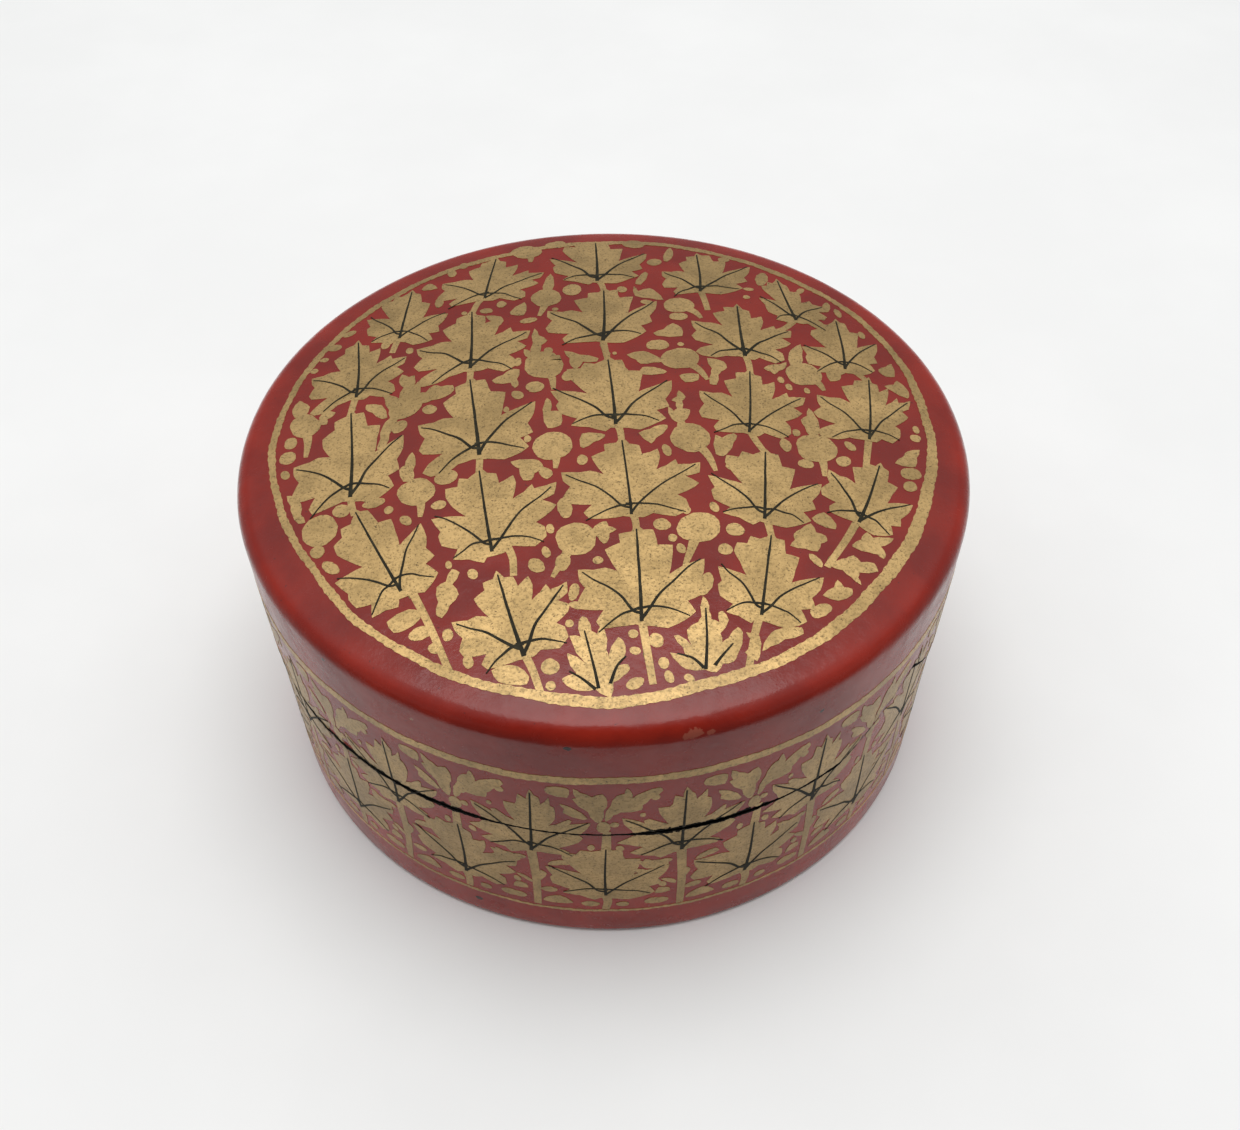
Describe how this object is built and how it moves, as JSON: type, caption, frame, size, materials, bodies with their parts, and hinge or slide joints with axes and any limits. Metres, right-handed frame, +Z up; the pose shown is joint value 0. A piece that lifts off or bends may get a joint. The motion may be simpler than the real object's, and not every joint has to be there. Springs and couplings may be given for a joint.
{
  "type": "round papier mache box",
  "caption": "Round red lacquered papier mache box with a lift-off domed lid, inner collar, keyed seam and gilt chinar leaves.",
  "frame": {"origin": "middle of the underside, where the box stands", "axes": "+Z up out of the lid along the box's round axis, -Y towards the near side, +X to the right"},
  "size_m": [0.1106, 0.1106, 0.0574],
  "materials": {
    "base_paper": "matte",
    "lid_paper": "matte",
    "collar_black": "satin",
    "black_lining": "satin",
    "red_lacquer": "gloss",
    "gilt": "satin"
  },
  "bodies": {
    "base": {"base_floor": "base_paper", "base_wall": "base_paper", "base_collar": "collar_black", "base_floor_lining": "black_lining", "base_lacquer": "red_lacquer", "base_foot_line": "gilt", "base_leaves": "gilt"},
    "lid": {"lid_wall": "lid_paper", "lid_crown": "lid_paper", "lid_lining": "black_lining", "lid_lacquer": "red_lacquer", "lid_side_line": "gilt", "lid_top_ring": "gilt", "lid_side_leaves": "gilt", "lid_top_leaves": "gilt"}
  },
  "joints": [
    {"name": "lid_lift", "type": "slide", "parent": "base", "child": "lid", "axis": [0, 0, 1], "range_m": [0, 0.05]}
  ]
}
